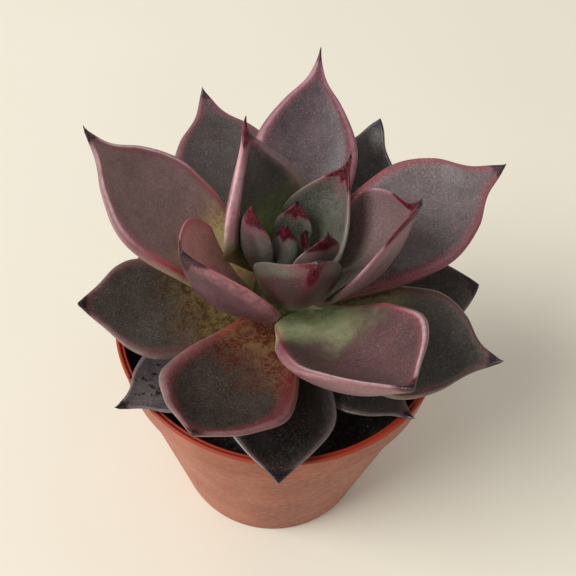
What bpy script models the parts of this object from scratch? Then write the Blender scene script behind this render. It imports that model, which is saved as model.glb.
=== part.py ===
"""Potted echeveria: a rosette of thick pointed leaves on a short stem, in a round plastic nursery pot."""

import collections
import math

import bmesh
import bpy
from mathutils import Vector

MM = 0.001
FIT_GAP = 0.33 * MM

# Pot: a thin shell with a wider collar and a rolled lip
POT_HEIGHT = 50.0 * MM
LIP_RADIUS = 27.5 * MM
COLLAR_RADIUS = 27.1 * MM
COLLAR_HEIGHT = 7.6 * MM
WALL_TOP_RADIUS = 26.3 * MM
BASE_RADIUS = 20.0 * MM
WALL = 0.8 * MM
FLOOR = 1.2 * MM
DRAIN_HOLES = 6
DRAIN_HOLE_RADIUS = 2.4 * MM
DRAIN_CIRCLE_RADIUS = 13.0 * MM
POT_SEGMENTS = 72

# Soil: fills the pot to a few millimetres under the lip
SOIL_EDGE_HEIGHT = 43.6 * MM
SOIL_MIDDLE_HEIGHT = 45.4 * MM
SOIL_SEGMENTS = 48

# Stem: carries the leaves, with a root crown in the soil's hole
STEM_TOP = 59.4 * MM
STEM_FOOT = 30.5 * MM
STEM_SOIL_RADIUS = 4.0 * MM
CROWN_RADIUS = 3.0 * MM
STEM_SEGMENTS = 28

# Spiral: each older leaf is a golden angle further round, a step lower and further from the axis.
# The first leaf outside the heart is number 3.
GOLDEN_ANGLE = 137.5
FIRST_AZIMUTH = 17.5
TOP_LEAF_HEIGHT = 61.5 * MM
LEAF_STEP = 0.56 * MM
TIP_SEAT_RADIUS = 1.2 * MM
SEAT_GROWTH = 4.0 * MM
FULL_SEAT_LEAF = 9
HEART_LEAVES = 3
SEAT_GAP = 0.6 * MM

# Leaf mesh
LEAF_RINGS = 13
LEAF_SIDES = 12
BUD_RINGS = 8
BUD_SIDES = 10
SPINE_STEPS = 120

# Leaf form that most leaves share
USUAL_THICKNESS = 0.18
USUAL_WIDEST = 0.55
USUAL_POINT = 1.35
USUAL_HOLLOW = 0.22
FOOT_WIDTH = 0.39
KEEL = 0.25
FACE_SHARE = 0.2
BACK_SHARE = 1 - FACE_SHARE
HOOK_ANGLE = 12.0
LEAST_THICKNESS = 0.6

# One row for each leaf, youngest first, in millimetres and degrees: turn off the spiral, length, width,
# pitch at the base, upward curl, roll about its middle line, sideways sway, and what is its own in form
Leaf = collections.namedtuple("Leaf", "name turn length width pitch curl roll sway form")
HEART_ROWS = [
    Leaf("bud_1", 0, 5.0, 2.4, 80, 6, 0, 0, {"seat": 0.5, "thick": 1.1}),
    Leaf("bud_2", 0, 6.5, 2.8, 80, 6, 0, 0, {"seat": 0.8, "thick": 1.2}),
    Leaf("bud_3", 0, 8.2, 3.6, 74, 10, 0, 0, {"seat": 1.1, "thick": 1.4}),
    Leaf("bud_4", 15, 11.0, 4.2, 95, 8, 0, 0, {"seat": 1.5, "thick": 1.6}),
    Leaf("bud_5", -23, 10.5, 6.0, 60, 10, 0, 0, {"seat": 1.8, "thick": 1.6}),
]
LEAF_ROWS = [
    Leaf("inner_leaf_1", 0, 15.5, 7.5, 70, 14, -25, 0, {}),
    Leaf("inner_leaf_2", 2, 16.6, 7.0, 80, 12, 32, 0, {"hollow": 0.5, "thick": 1.7}),
    Leaf("inner_leaf_3", -2, 20.7, 13.1, 60, 11.8, -0.7, -0.9,
         {"foot": 0.4, "widest": 0.32, "point": 1.6, "hollow": 0.55, "thick": 1.7}),
    Leaf("inner_leaf_4", 6.8, 21.6, 12.7, 63.5, 6, -22, 32,
         {"foot": 0.3, "widest": 0.49, "point": 0.88, "hollow": 0.7, "thick": 1.7}),
    Leaf("inner_leaf_5", -13, 26.0, 20.5, 69, 12, 21, 14,
         {"foot": 0.26, "widest": 0.34, "point": 1.9, "hollow": 0.3, "thick": 2.6}),
    Leaf("inner_leaf_6", 3.6, 25.6, 19.0, 55, 13.3, -1.8, -9.6,
         {"seat": 5.1, "foot": 0.3, "widest": 0.51, "point": 1.55, "hollow": 0.53, "thick": 2.2}),
    Leaf("inner_leaf_7", -7.7, 22.2, 20.7, 56.3, 6, 0, 14.4,
         {"seat": 5.3, "foot": 0.33, "widest": 0.44, "point": 1.03, "hollow": 0.55, "thick": 2.2}),
    Leaf("middle_leaf_1", 2, 36.0, 17.5, 36, 14, 0, 0, {"widest": 0.5, "point": 1.7}),
    Leaf("middle_leaf_2", -0.4, 30.8, 21.2, 27.5, 14.8, -2.4, -2.8,
         {"foot": 0.39, "widest": 0.56, "point": 1.26, "hollow": 0.54, "thick": 3.2}),
    Leaf("middle_leaf_3", -8, 36.2, 21.6, 28.2, 26, 7, 0,
         {"widest": 0.52, "point": 1.5, "thick": 2.7}),
    Leaf("middle_leaf_4", -0.5, 36.8, 20.2, 28.2, -4.4, 10, -7,
         {"widest": 0.55, "point": 1.2, "thick": 3.2}),
    Leaf("middle_leaf_5", 0, 30.0, 19.5, 12, 33, 0, 0, {"widest": 0.6, "point": 1.2, "thick": 3.3}),
    Leaf("middle_leaf_6", 1, 37.8, 20.4, 13.2, 23.5, 0, 0, {"thick": 3.0}),
    Leaf("middle_leaf_7", 0, 31.5, 20.5, 8.7, 17, 6, 0, {"thick": 2.7}),
    Leaf("middle_leaf_8", -5, 28.1, 18.6, 11.6, 24, -5, 8,
         {"widest": 0.6, "point": 1.1, "thick": 2.9}),
    Leaf("outer_leaf_1", 3, 34.4, 17.4, 13.6, 31, -4, 0, {"point": 1.0, "thick": 2.0}),
    Leaf("outer_leaf_2", -12, 27.0, 17.0, -1, 19, 0, 0, {"thick": 1.9}),
    Leaf("outer_leaf_3", 0, 27.0, 15.0, 7, 12, 0, 0, {"thick": 2.2}),
    Leaf("outer_leaf_4", 0, 28.6, 15.5, 4.2, 10, 4, 0,
         {"thick": 1.7, "widest": 0.64, "point": 0.85}),
    Leaf("outer_leaf_5", -8, 27.5, 14.0, 1.7, 23, 0, 0, {"thick": 1.5}),
    Leaf("outer_leaf_6", 0, 29.0, 14.0, 8, 8, 0, 0, {"thick": 2.1}),
    Leaf("outer_leaf_7", 0, 24.0, 13.0, 5, 12, 0, 0, {"thick": 1.8}),
]


def clear_scene():
    for old in list(bpy.data.objects):
        bpy.data.objects.remove(old, do_unlink=True)


def new_collection(name, cutters=False):
    made = bpy.data.collections.new(name)
    bpy.context.scene.collection.children.link(made)
    made.hide_render = cutters
    return made


def new_material(name, color, roughness):
    made = bpy.data.materials.new(name)
    made.use_nodes = True
    shader = made.node_tree.nodes["Principled BSDF"]
    shader.inputs["Base Color"].default_value = (*color, 1.0)
    shader.inputs["Roughness"].default_value = roughness
    made.diffuse_color = (*color, 1.0)
    return made


def new_object(name, mesh, collection, material=None):
    made = bpy.data.objects.new(name, mesh)
    collection.objects.link(made)
    if material:
        mesh.materials.append(material)
    return made


def share(value, start, end):
    """How far value lies from start to end, kept between 0 and 1."""
    return min(max((value - start) / (end - start), 0.0), 1.0)


def seat_radius(age):
    """Distance from the axis to the foot of the leaf this old."""
    return TIP_SEAT_RADIUS + SEAT_GROWTH * share(age, 0, FULL_SEAT_LEAF) ** 0.8


def seat_height(age):
    return TOP_LEAF_HEIGHT - LEAF_STEP * max(age, 0)


def turned(name, profile, segments, collection, material):
    """A solid turned round Z from (radius, height) points, listed down its outer side."""
    mesh = bpy.data.meshes.new(name)
    edges = [(i, i + 1) for i in range(len(profile) - 1)]
    mesh.from_pydata([(radius, 0.0, height) for radius, height in profile], edges, [])
    made = new_object(name, mesh, collection, material)
    screw = made.modifiers.new("turn", "SCREW")
    screw.steps = segments
    screw.render_steps = segments
    screw.use_merge_vertices = True
    screw.merge_threshold = 0.00001
    screw.use_smooth_shade = True
    return made


def leaf_spine(leaf, age):
    """Points along the middle of the leaf, each with its pitch and azimuth in radians."""
    azimuth = math.radians(FIRST_AZIMUTH - GOLDEN_ANGLE * age + leaf.turn)
    seat = leaf.form.get("seat", seat_radius(age) / MM) * MM
    point = Vector((seat * math.cos(azimuth), seat * math.sin(azimuth), seat_height(age)))
    step = leaf.length * MM / SPINE_STEPS
    spine = []
    for i in range(SPINE_STEPS + 1):
        along = i / SPINE_STEPS
        hook = HOOK_ANGLE * share(along, 0.88, 1.0) ** 2
        lift = math.radians(leaf.pitch + leaf.curl * along**2 + hook)
        heading = azimuth + math.radians(leaf.sway) * along
        if i:
            level = math.cos(lift)
            way = Vector((level * math.cos(heading), level * math.sin(heading), math.sin(lift)))
            point = point + way * step
        spine.append((point, lift, heading))
    return spine


def half_width(leaf, along):
    """Half the leaf's width in millimetres, at this share of its length."""
    foot = leaf.form.get("foot", FOOT_WIDTH)
    widest = leaf.form.get("widest", USUAL_WIDEST)
    if along < widest:
        grown = foot + (1 - foot) * math.sin(math.pi / 2 * along / widest)
    else:
        grown = math.cos(math.pi / 2 * share(along, widest, 1.0)) ** leaf.form.get("point", USUAL_POINT)
    return leaf.width / 2 * grown


def thickness(leaf, along):
    """The leaf's thickness in millimetres: thin at the tip, and nowhere more than its width allows."""
    full = leaf.form.get("thick", USUAL_THICKNESS * leaf.width)
    swell = 0.6 + 0.4 * math.sin(math.pi / 2 * share(along, 0.0, 0.45))
    thin = 1 - 0.8 * share(along, 0.5, 1.0) ** 1.6
    most = 1.2 * half_width(leaf, along) + LEAST_THICKNESS
    return max(min(full * swell * thin, most), LEAST_THICKNESS)


def leaf_point(leaf, spine, along, angle):
    """The point of the leaf's skin at this share of its length and this angle round its section."""
    point, lift, heading = spine[round(along * SPINE_STEPS)]
    left = Vector((-math.sin(heading), math.cos(heading), 0.0))
    steep = math.sin(lift)
    face = Vector((-steep * math.cos(heading), -steep * math.sin(heading), math.cos(lift)))
    roll = math.radians(leaf.roll) * share(along, 0.0, 0.3)
    side = left * math.cos(roll) + face * math.sin(roll)
    normal = face * math.cos(roll) - left * math.sin(roll)
    across = math.cos(angle)
    half = half_width(leaf, along)
    if math.sin(angle) >= 0:
        rise = FACE_SHARE * abs(math.sin(angle)) ** 1.4
    else:
        rise = -BACK_SHARE * abs(math.sin(angle)) ** 1.25 * (1 + KEEL * (1 - abs(across)) ** 2 * along)
    hollow = leaf.form.get("hollow", USUAL_HOLLOW)
    hollow *= share(along, 0.0, 0.35) * (1 - 0.3 * share(along, 0.7, 1.0))
    height = rise * thickness(leaf, along) + hollow * half * (across**2 - 0.35)
    return point + side * (half * across * MM) + normal * (height * MM)


def leaf_object(leaf, age, rings, sides, collection, material):
    """A thick leaf: a ball whose poles are the leaf's foot and its tip."""
    spine = leaf_spine(leaf, age)
    mesh = bpy.data.meshes.new(leaf.name)
    shape = bmesh.new()
    bmesh.ops.create_uvsphere(shape, u_segments=sides, v_segments=rings, radius=1.0)
    for vertex in shape.verts:
        pole_angle = math.acos(max(-1.0, min(1.0, -vertex.co.z)))
        ring = round(pole_angle / math.pi * rings)
        if ring == 0:
            vertex.co = spine[0][0]
        elif ring == rings:
            vertex.co = spine[-1][0]
        else:
            along = share(ring, 1.0, rings - 0.35) ** 0.92
            vertex.co = leaf_point(leaf, spine, along, math.atan2(vertex.co.y, vertex.co.x))
    shape.to_mesh(mesh)
    shape.free()
    for face in mesh.polygons:
        face.use_smooth = True
    return new_object(leaf.name, mesh, collection, material)


def baked(made):
    """Replaces the object's mesh by what its modifiers make of it."""
    bpy.context.view_layer.update()
    graph = bpy.context.evaluated_depsgraph_get()
    made.data = bpy.data.meshes.new_from_object(made.evaluated_get(graph))
    made.modifiers.clear()


def add_cut(made, name, cutters):
    cut = made.modifiers.new(name, "BOOLEAN")
    cut.operation = "DIFFERENCE"
    cut.operand_type = "COLLECTION"
    cut.collection = cutters
    cut.solver = "EXACT"


def pot_wall_radius(height):
    """Outer radius of the plain wall under the collar."""
    return BASE_RADIUS + (WALL_TOP_RADIUS - BASE_RADIUS) * height / (POT_HEIGHT - COLLAR_HEIGHT)


def build_pot(parts, cutters, material):
    collar_foot = POT_HEIGHT - COLLAR_HEIGHT
    inside_floor = pot_wall_radius(FLOOR) - WALL
    profile = [
        (0.0, FLOOR),
        (inside_floor - 0.7 * MM, FLOOR),
        (inside_floor, FLOOR + 0.7 * MM),
        (WALL_TOP_RADIUS - WALL, collar_foot - 0.6 * MM),
        (COLLAR_RADIUS - WALL, collar_foot + 0.2 * MM),
        (COLLAR_RADIUS - WALL, POT_HEIGHT - 1.0 * MM),
        (COLLAR_RADIUS - 0.6 * MM, POT_HEIGHT - 0.3 * MM),
        (COLLAR_RADIUS - 0.1 * MM, POT_HEIGHT),
        (LIP_RADIUS - 0.1 * MM, POT_HEIGHT - 0.3 * MM),
        (LIP_RADIUS, POT_HEIGHT - 0.8 * MM),
        (LIP_RADIUS - 0.1 * MM, POT_HEIGHT - 1.2 * MM),
        (COLLAR_RADIUS, POT_HEIGHT - 1.5 * MM),
        (COLLAR_RADIUS, collar_foot + 0.2 * MM),
        (COLLAR_RADIUS - 0.2 * MM, collar_foot - 0.1 * MM),
        (WALL_TOP_RADIUS, collar_foot - 0.2 * MM),
        (pot_wall_radius(0.9 * MM), 0.9 * MM),
        (BASE_RADIUS - 0.1 * MM, 0.3 * MM),
        (BASE_RADIUS - 0.5 * MM, 0.0),
        (0.0, 0.0),
    ]
    pot = turned("pot", profile, POT_SEGMENTS, parts, material)
    for i in range(DRAIN_HOLES):
        angle = 2 * math.pi * i / DRAIN_HOLES
        mesh = bpy.data.meshes.new(f"drain_hole_{i + 1}")
        shape = bmesh.new()
        bmesh.ops.create_cone(
            shape,
            cap_ends=True,
            segments=20,
            radius1=DRAIN_HOLE_RADIUS,
            radius2=DRAIN_HOLE_RADIUS,
            depth=6 * FLOOR,
        )
        shape.to_mesh(mesh)
        shape.free()
        hole = new_object(mesh.name, mesh, cutters)
        hole.location = (DRAIN_CIRCLE_RADIUS * math.cos(angle), DRAIN_CIRCLE_RADIUS * math.sin(angle), 0.0)
        hole.display_type = "WIRE"
    add_cut(pot, "drain holes", cutters)
    return pot


def build_soil(parts, material):
    hole_radius = STEM_SOIL_RADIUS + FIT_GAP
    collar_foot = POT_HEIGHT - COLLAR_HEIGHT
    floor_radius = pot_wall_radius(FLOOR) - WALL - 1.2 * MM
    side_radius = WALL_TOP_RADIUS - WALL - FIT_GAP
    top_radius = COLLAR_RADIUS - WALL - FIT_GAP
    drop = SOIL_MIDDLE_HEIGHT - SOIL_EDGE_HEIGHT
    profile = [(0.0, STEM_FOOT - FIT_GAP), (hole_radius, STEM_FOOT - FIT_GAP)]
    for i in range(7):
        radius = hole_radius + (top_radius - hole_radius) * i / 6
        profile.append((radius, SOIL_MIDDLE_HEIGHT - drop * (i / 6) ** 2))
    profile += [
        (top_radius, collar_foot + 0.5 * MM),
        (side_radius, collar_foot - 0.2 * MM),
        (floor_radius + 0.5 * MM, FLOOR + 1.6 * MM),
        (floor_radius - 0.4 * MM, FLOOR + FIT_GAP),
        (0.0, FLOOR + FIT_GAP),
    ]
    soil = turned("soil", profile, SOIL_SEGMENTS, parts, material)
    baked(soil)
    for vertex in soil.data.vertices:
        spot = vertex.co
        radius = math.hypot(spot.x, spot.y)
        if spot.z > SOIL_EDGE_HEIGHT - 0.1 * MM and hole_radius * 1.1 < radius < top_radius * 0.99:
            angle = math.atan2(spot.y, spot.x)
            bump = math.sin(5 * angle + radius * 700) + math.sin(8 * angle - radius * 1100 + 1.0)
            spot.z += 0.32 * MM * bump
    return soil


def build_stem(parts, material):
    profile = [(0.0, STEM_TOP)]
    for age in range(4, 26, 3):
        height = min(seat_height(age), STEM_TOP)
        profile.append((seat_radius(age) - SEAT_GAP, height - 0.2 * MM))
    profile += [
        (STEM_SOIL_RADIUS, SOIL_MIDDLE_HEIGHT + 0.8 * MM),
        (STEM_SOIL_RADIUS, SOIL_MIDDLE_HEIGHT - 6.0 * MM),
        (CROWN_RADIUS, STEM_FOOT + 1.2 * MM),
        (CROWN_RADIUS - 0.8 * MM, STEM_FOOT),
        (0.0, STEM_FOOT),
    ]
    return turned("stem", profile, STEM_SEGMENTS, parts, material)


def build_heart(parts, buds, material):
    """The youngest leaves and the growing point between them, in one piece."""
    for i, leaf in enumerate(HEART_ROWS):
        leaf_object(leaf, i + HEART_LEAVES - len(HEART_ROWS), BUD_RINGS, BUD_SIDES, buds, material)
    mesh = bpy.data.meshes.new("heart")
    shape = bmesh.new()
    bmesh.ops.create_uvsphere(shape, u_segments=16, v_segments=10, radius=1.0)
    bmesh.ops.scale(shape, verts=shape.verts, vec=(2.2 * MM, 2.2 * MM, 1.5 * MM))
    bmesh.ops.translate(shape, verts=shape.verts, vec=(0.0, 0.0, STEM_TOP + FIT_GAP + 1.5 * MM))
    shape.to_mesh(mesh)
    shape.free()
    heart = new_object("heart", mesh, parts, material)
    join = heart.modifiers.new("join buds", "BOOLEAN")
    join.operation = "UNION"
    join.operand_type = "COLLECTION"
    join.collection = buds
    join.solver = "EXACT"
    baked(heart)
    for bud in list(buds.objects):
        bpy.data.objects.remove(bud, do_unlink=True)
    return heart


def main():
    clear_scene()
    parts = new_collection("potted_echeveria")
    cutters = new_collection("cutters", cutters=True)
    buds = new_collection("heart_buds")
    plastic = new_material("pot_plastic", (0.42, 0.13, 0.07), 0.5)
    earth = new_material("potting_soil", (0.02, 0.016, 0.013), 0.95)
    bark = new_material("stem_tissue", (0.22, 0.2, 0.1), 0.7)
    young = new_material("heart_leaf", (0.2, 0.13, 0.12), 0.5)
    inner = new_material("inner_leaf", (0.2, 0.16, 0.15), 0.5)
    middle = new_material("middle_leaf", (0.15, 0.09, 0.1), 0.5)
    outer = new_material("outer_leaf", (0.06, 0.055, 0.055), 0.45)
    build_pot(parts, cutters, plastic)
    build_soil(parts, earth)
    build_stem(parts, bark)
    build_heart(parts, buds, young)
    skins = {"inner": inner, "middle": middle, "outer": outer}
    for i, leaf in enumerate(LEAF_ROWS):
        leaf_object(leaf, i + HEART_LEAVES, LEAF_RINGS, LEAF_SIDES, parts, skins[leaf.name.split("_")[0]])


main()
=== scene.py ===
import collections
import math
import random

import bmesh
import bpy
import numpy as np
from mathutils import Matrix, Vector, noise


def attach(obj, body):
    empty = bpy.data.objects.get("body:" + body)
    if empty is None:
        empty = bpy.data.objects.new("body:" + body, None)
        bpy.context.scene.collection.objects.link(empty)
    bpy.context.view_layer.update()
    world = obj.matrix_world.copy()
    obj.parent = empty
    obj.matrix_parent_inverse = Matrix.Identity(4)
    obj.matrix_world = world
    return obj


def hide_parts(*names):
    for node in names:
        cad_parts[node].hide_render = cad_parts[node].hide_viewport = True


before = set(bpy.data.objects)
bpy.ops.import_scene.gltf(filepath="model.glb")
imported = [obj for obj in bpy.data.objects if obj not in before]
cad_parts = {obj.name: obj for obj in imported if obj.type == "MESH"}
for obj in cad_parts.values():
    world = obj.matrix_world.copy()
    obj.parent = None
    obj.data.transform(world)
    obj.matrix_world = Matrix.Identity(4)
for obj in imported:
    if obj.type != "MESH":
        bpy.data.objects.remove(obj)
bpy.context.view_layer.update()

MM = 0.001

# Pot and soil, as in the construction
POT_HEIGHT = 50.0 * MM
LIP_RADIUS = 27.5 * MM
COLLAR_RADIUS = 27.1 * MM
COLLAR_HEIGHT = 7.6 * MM
WALL_TOP_RADIUS = 26.3 * MM
BASE_RADIUS = 20.0 * MM
WALL = 0.8 * MM
FLOOR = 1.2 * MM
DRAIN_HOLES = 6
DRAIN_HOLE_RADIUS = 2.4 * MM
DRAIN_CIRCLE_RADIUS = 13.0 * MM
SOIL_EDGE_HEIGHT = 43.6 * MM
SOIL_MIDDLE_HEIGHT = 45.4 * MM
STEM_TOP = 59.4 * MM
STEM_FOOT = 30.5 * MM
STEM_SOIL_RADIUS = 4.0 * MM
CROWN_RADIUS = 3.0 * MM
DOME_RADIUS = 2.2 * MM
DOME_RISE = 1.5 * MM
FIT_GAP = 0.33 * MM

# Finer form of the pot, the soil and the stem
BEAD = 0.34 * MM
BEAD_FOOT = 1.4 * MM
LIP_ROUNDING = 0.2 * MM
LIP_GROOVE_DEPTH = 0.45 * MM
LIP_GROOVE_OUT = 0.42 * MM
STEP_TOP = 1.2 * MM
STEP_DROP = 1.8 * MM
STEP_POINTS = 8
FLOOR_ROUNDING = 0.7 * MM
BASE_ROUNDING = 0.6 * MM
POT_SIDES = 192
SOIL_SIDES = 180
SOIL_RINGS = 60
SOIL_LUMP_SIZE = 3.0 * MM
SOIL_LUMP_RISE = 0.45
SOIL_GRAIN_SIZE = 0.9 * MM
SOIL_GRAIN_RISE = 0.22
SCAR_DEPTH = 0.12 * MM
STEM_AGES = np.arange(4.0, 26.0, 0.5)
STEM_SIDES = 64
DOME_SIDES = 40

# Spiral of the leaves, as in the construction
GOLDEN_ANGLE = 137.5
FIRST_AZIMUTH = 17.5
TOP_LEAF_HEIGHT = 61.5 * MM
LEAF_STEP = 0.56 * MM
TIP_SEAT_RADIUS = 1.2 * MM
SEAT_GROWTH = 4.0 * MM
FULL_SEAT_LEAF = 9
HEART_LEAVES = 3
SEAT_GAP = 0.6 * MM

# Leaf form that most leaves share, as in the construction
USUAL_THICKNESS = 0.18
USUAL_WIDEST = 0.55
USUAL_POINT = 1.35
USUAL_HOLLOW = 0.22
FOOT_WIDTH = 0.39
KEEL = 0.25
FACE_SHARE = 0.2
BACK_SHARE = 1 - FACE_SHARE
HOOK_ANGLE = 12.0
HOOK_START = 0.88
FOOT_THICKNESS = 0.6
THICKEST = 0.45
LEAST_THICKNESS = 0.6
SPINE_STEPS = 120

# Finer leaf form, in millimetres: a bevel outside the margin's ridge, a thorn at the tip, shallow dents
LEAF_RINGS = 110
LEAF_SIDES = 88
BUD_RINGS = 56
BUD_SIDES = 48
RING_CROWDING = 0.94
SLIMMING = 0.86
BEVEL_TURN = 0.42
BEVEL_START = 0.75
BEVEL_DEPTH = 0.4
BEVEL_LIMIT = 0.3
BACK_ROUNDING = 1.4
CREST_REACH = 0.55
CREST_DEPTH = 0.16
FOOT_REACH = 1.3
TAIL_START = 0.76
THORN_RADIUS = 0.27
THORN_LENGTH = 2.0
THORN_TAPER = 0.85
THORN_LEAF_WIDTH = 12.0
DENT_DEPTH = 0.16
DENT_SIZE = 5.0

# One row for each leaf, youngest first, in millimetres and degrees, as in the construction
Leaf = collections.namedtuple("Leaf", "name turn length width pitch curl roll sway form")
HEART_ROWS = [
    Leaf("bud_1", 0, 5.0, 2.4, 80, 6, 0, 0, {"seat": 0.5, "thick": 1.1}),
    Leaf("bud_2", 0, 6.5, 2.8, 80, 6, 0, 0, {"seat": 0.8, "thick": 1.2}),
    Leaf("bud_3", 0, 8.2, 3.6, 74, 10, 0, 0, {"seat": 1.1, "thick": 1.4}),
    Leaf("bud_4", 15, 11.0, 4.2, 95, 8, 0, 0, {"seat": 1.5, "thick": 1.6}),
    Leaf("bud_5", -23, 10.5, 6.0, 60, 10, 0, 0, {"seat": 1.8, "thick": 1.6}),
]
LEAF_ROWS = [
    Leaf("inner_leaf_1", 0, 15.5, 7.5, 70, 14, -25, 0, {}),
    Leaf("inner_leaf_2", 2, 16.6, 7.0, 80, 12, 32, 0, {"hollow": 0.5, "thick": 1.7}),
    Leaf("inner_leaf_3", -2, 20.7, 13.1, 60, 11.8, -0.7, -0.9,
         {"foot": 0.4, "widest": 0.32, "point": 1.6, "hollow": 0.55, "thick": 1.7}),
    Leaf("inner_leaf_4", 6.8, 21.6, 12.7, 63.5, 6, -22, 32,
         {"foot": 0.3, "widest": 0.49, "point": 0.88, "hollow": 0.7, "thick": 1.7}),
    Leaf("inner_leaf_5", -13, 26.0, 20.5, 69, 12, 21, 14,
         {"foot": 0.26, "widest": 0.34, "point": 1.9, "hollow": 0.3, "thick": 2.6}),
    Leaf("inner_leaf_6", 3.6, 25.6, 19.0, 55, 13.3, -1.8, -9.6,
         {"seat": 5.1, "foot": 0.3, "widest": 0.51, "point": 1.55, "hollow": 0.53, "thick": 2.2}),
    Leaf("inner_leaf_7", -7.7, 22.2, 20.7, 56.3, 6, 0, 14.4,
         {"seat": 5.3, "foot": 0.33, "widest": 0.44, "point": 1.03, "hollow": 0.55, "thick": 2.2}),
    Leaf("middle_leaf_1", 2, 36.0, 17.5, 36, 14, 0, 0, {"widest": 0.5, "point": 1.7}),
    Leaf("middle_leaf_2", -0.4, 30.8, 21.2, 27.5, 14.8, -2.4, -2.8,
         {"foot": 0.39, "widest": 0.56, "point": 1.26, "hollow": 0.54, "thick": 3.2}),
    Leaf("middle_leaf_3", -8, 36.2, 21.6, 28.2, 26, 7, 0, {"widest": 0.52, "point": 1.5, "thick": 2.7}),
    Leaf("middle_leaf_4", -0.5, 36.8, 20.2, 28.2, -4.4, 10, -7,
         {"widest": 0.55, "point": 1.2, "thick": 3.2}),
    Leaf("middle_leaf_5", 0, 30.0, 19.5, 12, 33, 0, 0, {"widest": 0.6, "point": 1.2, "thick": 3.3}),
    Leaf("middle_leaf_6", 1, 37.8, 20.4, 13.2, 23.5, 0, 0, {"thick": 3.0}),
    Leaf("middle_leaf_7", 0, 31.5, 20.5, 8.7, 17, 6, 0, {"thick": 2.7}),
    Leaf("middle_leaf_8", -5, 28.1, 18.6, 11.6, 24, -5, 8, {"widest": 0.6, "point": 1.1, "thick": 2.9}),
    Leaf("outer_leaf_1", 3, 34.4, 17.4, 13.6, 31, -4, 0, {"point": 1.0, "thick": 2.0}),
    Leaf("outer_leaf_2", -12, 27.0, 17.0, -1, 19, 0, 0, {"thick": 1.9}),
    Leaf("outer_leaf_3", 0, 27.0, 15.0, 7, 12, 0, 0, {"thick": 2.2}),
    Leaf("outer_leaf_4", 0, 28.6, 15.5, 4.2, 10, 4, 0, {"thick": 1.7, "widest": 0.64, "point": 0.85}),
    Leaf("outer_leaf_5", -8, 27.5, 14.0, 1.7, 23, 0, 0, {"thick": 1.5}),
    Leaf("outer_leaf_6", 0, 29.0, 14.0, 8, 8, 0, 0, {"thick": 2.1}),
    Leaf("outer_leaf_7", 0, 24.0, 13.0, 5, 12, 0, 0, {"thick": 1.8}),
]

# Looks of the leaves. Colours are red, green and blue out of 255, reaches are in millimetres, and
# base_reach is a share of the leaf's length.
# face and deep mingle on the upper side. base and base_deep tint its foot up to base_reach, which base_lean
# carries further along the leaf's left half. rust is how strongly its brown freckles show.
# rim is the bevel outside the margin's ridge, and rim_left the leaf's left one. ridge near the tip and margin
# near the foot colour the thin line where face and bevel meet, as strongly as line says. margin is the edge's
# own red; a pale ridge is partly the edge's own pale tone and partly a painted highlight on the crest. pillow
# carries the rim's colour over on the face, a pale band that is partly a painted highlight on the rounded
# edge, and flush does that for margin, over flush_reach. back and back_deep are the underside.
# tip and tip_light colour the last tip_reach, further along the midrib by tip_point and along the ridges by
# tip_rim. blush_tone fades out beyond them, and mucro is how far the dark thorn reaches.
# farina is the pale bloom in clouds, dust the pale grain, glitter the fine dots at the foot, and pits the
# share of dark pits. gloss is the shader's specular level. bevel is the bevel's width as a share of the
# thickness, and tail how far the outline draws in before the tip, below 0 where it fills out.
USUAL_LOOK = dict(
    face=(98, 78, 82), deep=(72, 60, 60), base=(116, 114, 70), base_deep=(92, 78, 50), base_reach=0.3,
    base_lean=0.0, rust=0.0, rim=(152, 112, 116), ridge=(184, 148, 152), margin=(156, 56, 76), line=0.6,
    pillow=0.25, flush=0.4, flush_reach=1.8, back=(132, 98, 104), tip=(64, 16, 34), tip_reach=1.6,
    tip_point=0.6, tip_rim=0.6, blush=0.35, blush_reach=2.5, blush_tone=(118, 60, 74), mucro=1.0,
    farina=0.3, dust=0.12, glitter=0.4, glitter_tone=(190, 176, 128), pits=0.35, roughness=0.42,
    gloss=0.4, bevel=0.3, tail=0.24,
)

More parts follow.
